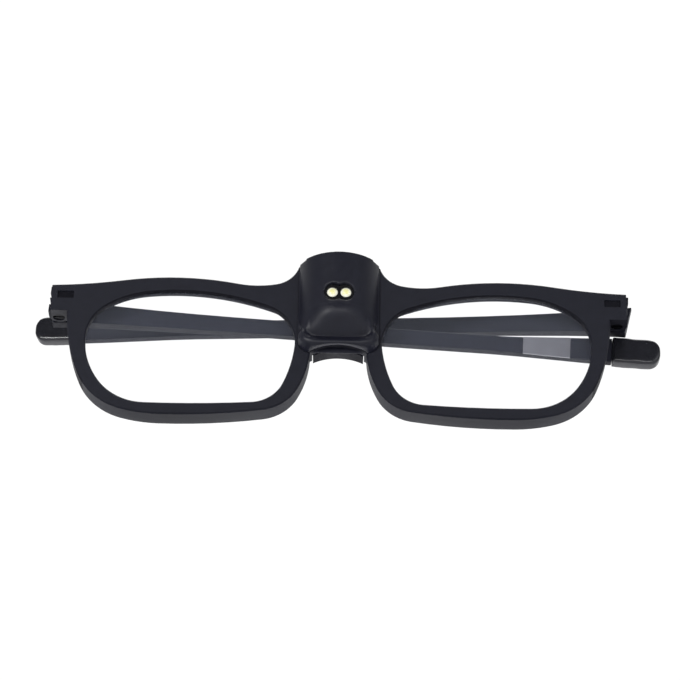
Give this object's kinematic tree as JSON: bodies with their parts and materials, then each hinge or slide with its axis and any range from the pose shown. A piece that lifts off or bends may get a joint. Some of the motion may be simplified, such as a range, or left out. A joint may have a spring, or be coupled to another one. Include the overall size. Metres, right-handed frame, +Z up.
{
  "type": "lighted magnifier glasses",
  "caption": "Full-rim magnifying glasses with a rechargeable lamp on the bridge and temples that fold.",
  "frame": {"origin": "centre of the flat back face of the lamp's rear cover, level with the lower hinge lugs", "axes": "+Z up as worn, the front faces -Y, +X to the right when seen from the front"},
  "size_m": [0.1648, 0.0398, 0.0454],
  "materials": {
    "frame_plastic": "satin",
    "temple_plastic": "satin",
    "tip_plastic": "satin",
    "housing_plastic": "satin",
    "lens": "clear",
    "bezel": "gloss",
    "lamp": "clear",
    "board": "satin",
    "button": "matt",
    "steel": "brushed",
    "cell": "satin",
    "foam": "foam",
    "label": "matt"
  },
  "bodies": {
    "front": {"front_frame": "frame_plastic", "left_lens": "lens", "right_lens": "lens", "left_hinge_screw": "steel", "right_hinge_screw": "steel", "lamp_housing": "housing_plastic", "led_bezel": "bezel", "left_led": "lamp", "right_led": "lamp", "circuit_board": "board", "tact_switch": "steel", "rear_cover": "housing_plastic", "cover_screws": "steel", "battery": "cell", "battery_pad": "foam", "charging_socket": "steel"},
    "left_arm": {"left_temple": "temple_plastic", "left_tip_sleeve": "tip_plastic", "temple_label": "label"},
    "right_arm": {"right_temple": "temple_plastic", "right_tip_sleeve": "tip_plastic"},
    "button": {"power_button": "button"}
  },
  "joints": [
    {"name": "left_temple_fold", "type": "hinge", "parent": "front", "child": "left_arm", "pos_m": [-0.0719, -0.0032, 0.00258], "axis": [0.0558, 0, 0.9984], "range_deg": [0, 89.3]},
    {"name": "right_temple_fold", "type": "hinge", "parent": "front", "child": "right_arm", "pos_m": [0.0719, -0.0032, 0.00258], "axis": [-0.0488, 0, -0.9988], "range_deg": [0, 81.4]},
    {"name": "power_button_press", "type": "slide", "parent": "front", "child": "button", "axis": [0, 0, -1], "range_m": [0, 0.0005], "stiffness_N_per_m": 400}
  ]
}
